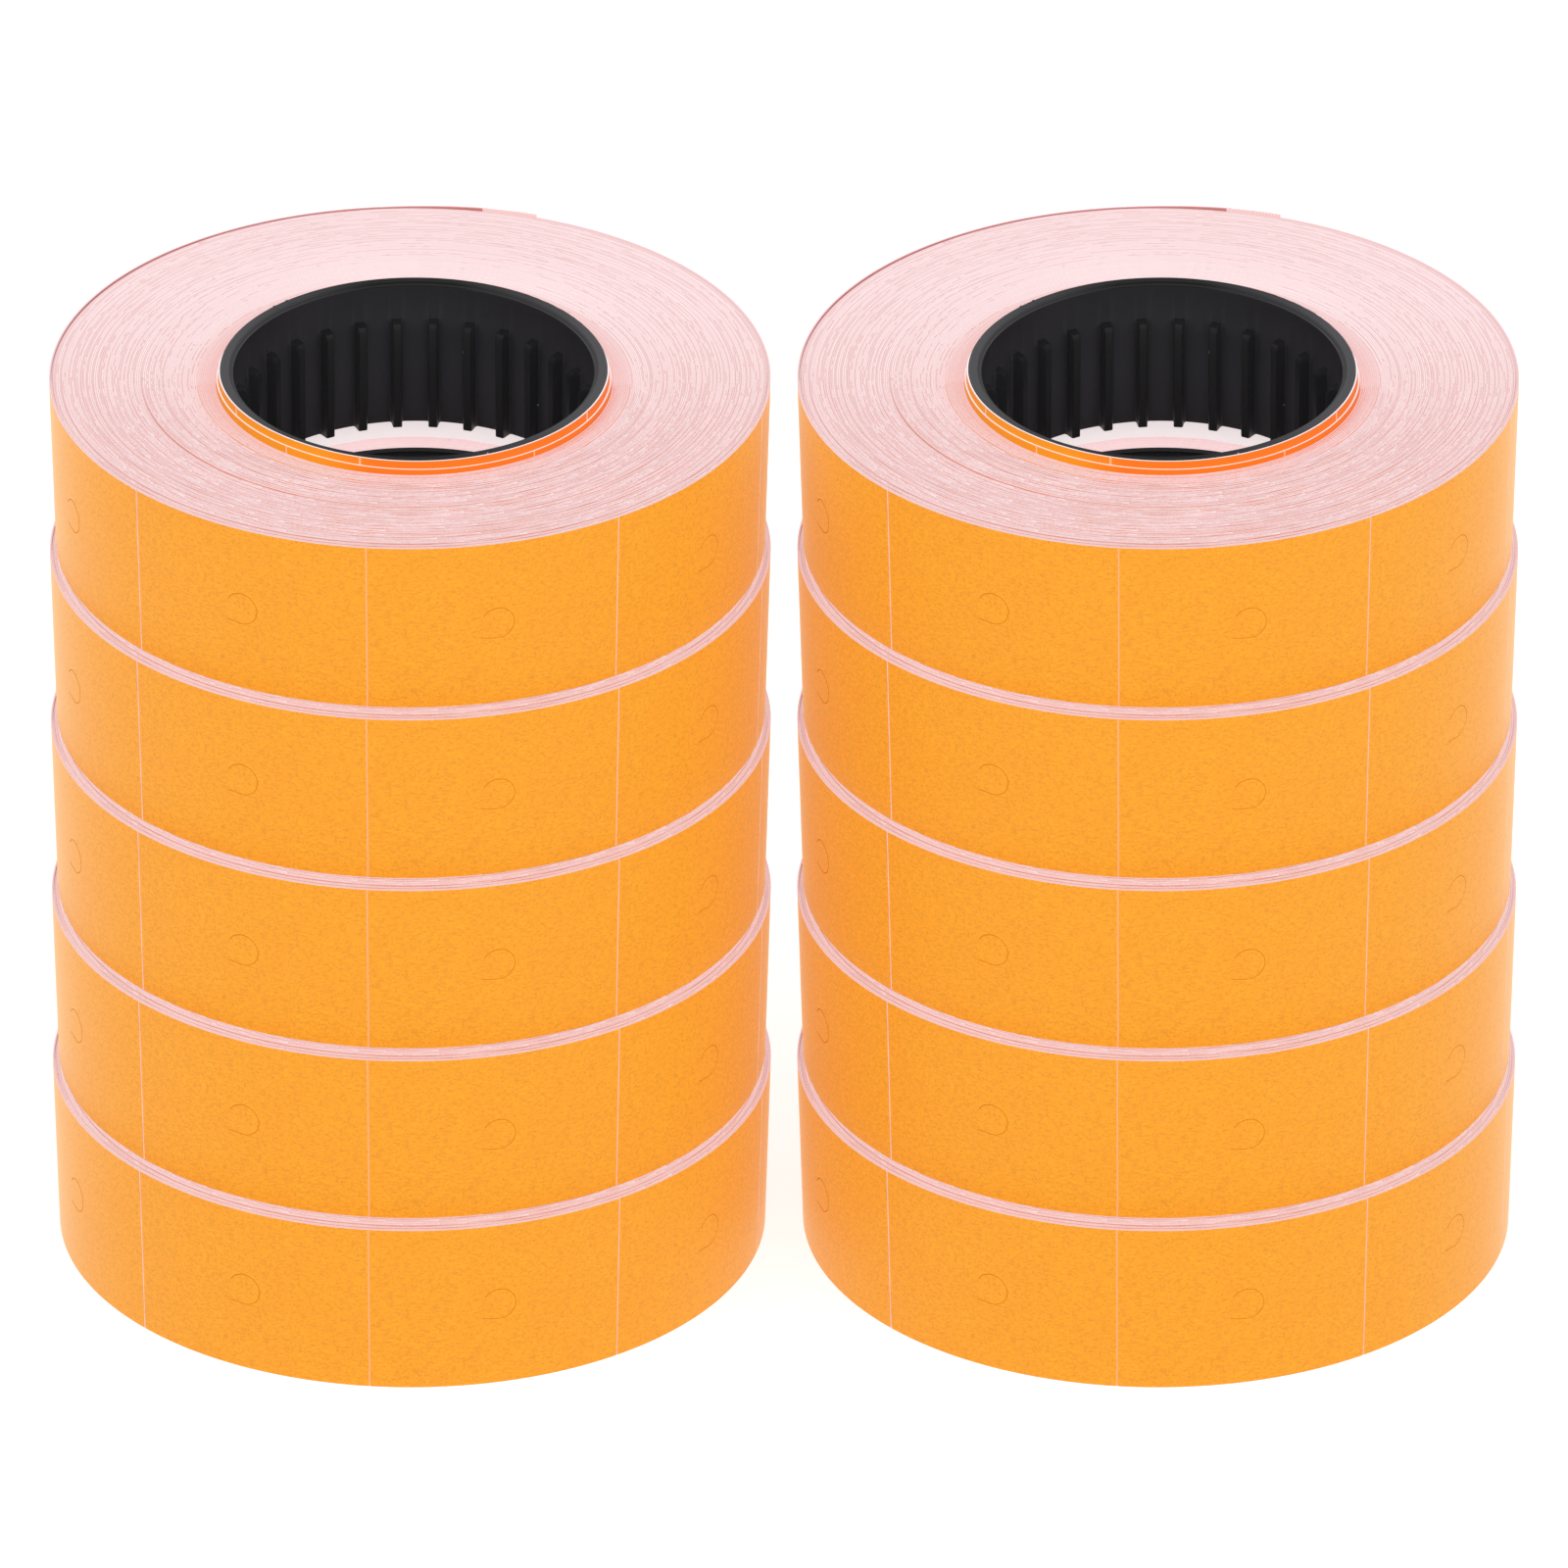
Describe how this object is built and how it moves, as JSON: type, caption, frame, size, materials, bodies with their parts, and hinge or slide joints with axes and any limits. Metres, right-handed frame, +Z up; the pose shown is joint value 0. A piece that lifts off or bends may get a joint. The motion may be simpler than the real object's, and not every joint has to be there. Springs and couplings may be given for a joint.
{
  "type": "price label rolls",
  "caption": "Orange self-adhesive price labels on liner strip, wound on ribbed plastic cores and stacked flat as refills for a hand labeller.",
  "frame": {"origin": "middle of the underside of the whole set's box", "axes": "+Z up along the rolls' axes, +X from the left stack to the right stack, -Y towards the front"},
  "size_m": [0.1288, 0.0704, 0.081],
  "materials": {
    "label_paper": "matte",
    "wound_edges": "matte",
    "core_plastic": "satin"
  },
  "bodies": {
    "roll_a1": {"roll_a1_core": "core_plastic", "roll_a1_inner_turns": "label_paper", "roll_a1_wound_pack": "wound_edges", "roll_a1_outer_turns": "label_paper"},
    "roll_a1_free_end": {"roll_a1_tail": "label_paper"},
    "roll_a2": {"roll_a2_core": "core_plastic", "roll_a2_inner_turns": "label_paper", "roll_a2_wound_pack": "wound_edges", "roll_a2_outer_turns": "label_paper"},
    "roll_a2_free_end": {"roll_a2_tail": "label_paper"},
    "roll_a3": {"roll_a3_core": "core_plastic", "roll_a3_inner_turns": "label_paper", "roll_a3_wound_pack": "wound_edges", "roll_a3_outer_turns": "label_paper"},
    "roll_a3_free_end": {"roll_a3_tail": "label_paper"},
    "roll_a4": {"roll_a4_core": "core_plastic", "roll_a4_inner_turns": "label_paper", "roll_a4_wound_pack": "wound_edges", "roll_a4_outer_turns": "label_paper"},
    "roll_a4_free_end": {"roll_a4_tail": "label_paper"},
    "roll_a5": {"roll_a5_core": "core_plastic", "roll_a5_inner_turns": "label_paper", "roll_a5_wound_pack": "wound_edges", "roll_a5_outer_turns": "label_paper"},
    "roll_a5_free_end": {"roll_a5_tail": "label_paper"},
    "roll_b1": {"roll_b1_core": "core_plastic", "roll_b1_inner_turns": "label_paper", "roll_b1_wound_pack": "wound_edges", "roll_b1_outer_turns": "label_paper"},
    "roll_b1_free_end": {"roll_b1_tail": "label_paper"},
    "roll_b2": {"roll_b2_core": "core_plastic", "roll_b2_inner_turns": "label_paper", "roll_b2_wound_pack": "wound_edges", "roll_b2_outer_turns": "label_paper"},
    "roll_b2_free_end": {"roll_b2_tail": "label_paper"},
    "roll_b3": {"roll_b3_core": "core_plastic", "roll_b3_inner_turns": "label_paper", "roll_b3_wound_pack": "wound_edges", "roll_b3_outer_turns": "label_paper"},
    "roll_b3_free_end": {"roll_b3_tail": "label_paper"},
    "roll_b4": {"roll_b4_core": "core_plastic", "roll_b4_inner_turns": "label_paper", "roll_b4_wound_pack": "wound_edges", "roll_b4_outer_turns": "label_paper"},
    "roll_b4_free_end": {"roll_b4_tail": "label_paper"},
    "roll_b5": {"roll_b5_core": "core_plastic", "roll_b5_inner_turns": "label_paper", "roll_b5_wound_pack": "wound_edges", "roll_b5_outer_turns": "label_paper"},
    "roll_b5_free_end": {"roll_b5_tail": "label_paper"}
  },
  "joints": [
    {"name": "peel_a1", "type": "hinge", "parent": "roll_a1", "child": "roll_a1_free_end", "pos_m": [-0.0355, 0.02783, 0.008], "axis": [0, 0, 1], "range_deg": [0, 70]},
    {"name": "lift_a2", "type": "slide", "parent": "roll_a1", "child": "roll_a2", "axis": [0, 0, 1], "range_m": [0, 0.04]},
    {"name": "peel_a2", "type": "hinge", "parent": "roll_a2", "child": "roll_a2_free_end", "pos_m": [-0.0355, 0.02958, 0.02405], "axis": [0, 0, 1], "range_deg": [0, 70]},
    {"name": "lift_a3", "type": "slide", "parent": "roll_a2", "child": "roll_a3", "axis": [0, 0, 1], "range_m": [0, 0.04]},
    {"name": "peel_a3", "type": "hinge", "parent": "roll_a3", "child": "roll_a3_free_end", "pos_m": [-0.0355, 0.03133, 0.0401], "axis": [0, 0, 1], "range_deg": [0, 70]},
    {"name": "lift_a4", "type": "slide", "parent": "roll_a3", "child": "roll_a4", "axis": [0, 0, 1], "range_m": [0, 0.04]},
    {"name": "peel_a4", "type": "hinge", "parent": "roll_a4", "child": "roll_a4_free_end", "pos_m": [-0.0355, 0.03308, 0.05615], "axis": [0, 0, 1], "range_deg": [0, 70]},
    {"name": "lift_a5", "type": "slide", "parent": "roll_a4", "child": "roll_a5", "axis": [0, 0, 1], "range_m": [0, 0.04]},
    {"name": "peel_a5", "type": "hinge", "parent": "roll_a5", "child": "roll_a5_free_end", "pos_m": [-0.0355, 0.03483, 0.0722], "axis": [0, 0, 1], "range_deg": [0, 70]},
    {"name": "part_stacks", "type": "slide", "parent": "roll_a1", "child": "roll_b1", "axis": [1, 0, 0], "range_m": [0, 0.08]},
    {"name": "peel_b1", "type": "hinge", "parent": "roll_b1", "child": "roll_b1_free_end", "pos_m": [0.0301, 0.02783, 0.008], "axis": [0, 0, 1], "range_deg": [0, 70]},
    {"name": "lift_b2", "type": "slide", "parent": "roll_b1", "child": "roll_b2", "axis": [0, 0, 1], "range_m": [0, 0.04]},
    {"name": "peel_b2", "type": "hinge", "parent": "roll_b2", "child": "roll_b2_free_end", "pos_m": [0.0301, 0.02958, 0.02405], "axis": [0, 0, 1], "range_deg": [0, 70]},
    {"name": "lift_b3", "type": "slide", "parent": "roll_b2", "child": "roll_b3", "axis": [0, 0, 1], "range_m": [0, 0.04]},
    {"name": "peel_b3", "type": "hinge", "parent": "roll_b3", "child": "roll_b3_free_end", "pos_m": [0.0301, 0.03133, 0.0401], "axis": [0, 0, 1], "range_deg": [0, 70]},
    {"name": "lift_b4", "type": "slide", "parent": "roll_b3", "child": "roll_b4", "axis": [0, 0, 1], "range_m": [0, 0.04]},
    {"name": "peel_b4", "type": "hinge", "parent": "roll_b4", "child": "roll_b4_free_end", "pos_m": [0.0301, 0.03308, 0.05615], "axis": [0, 0, 1], "range_deg": [0, 70]},
    {"name": "lift_b5", "type": "slide", "parent": "roll_b4", "child": "roll_b5", "axis": [0, 0, 1], "range_m": [0, 0.04]},
    {"name": "peel_b5", "type": "hinge", "parent": "roll_b5", "child": "roll_b5_free_end", "pos_m": [0.0301, 0.03483, 0.0722], "axis": [0, 0, 1], "range_deg": [0, 70]}
  ]
}
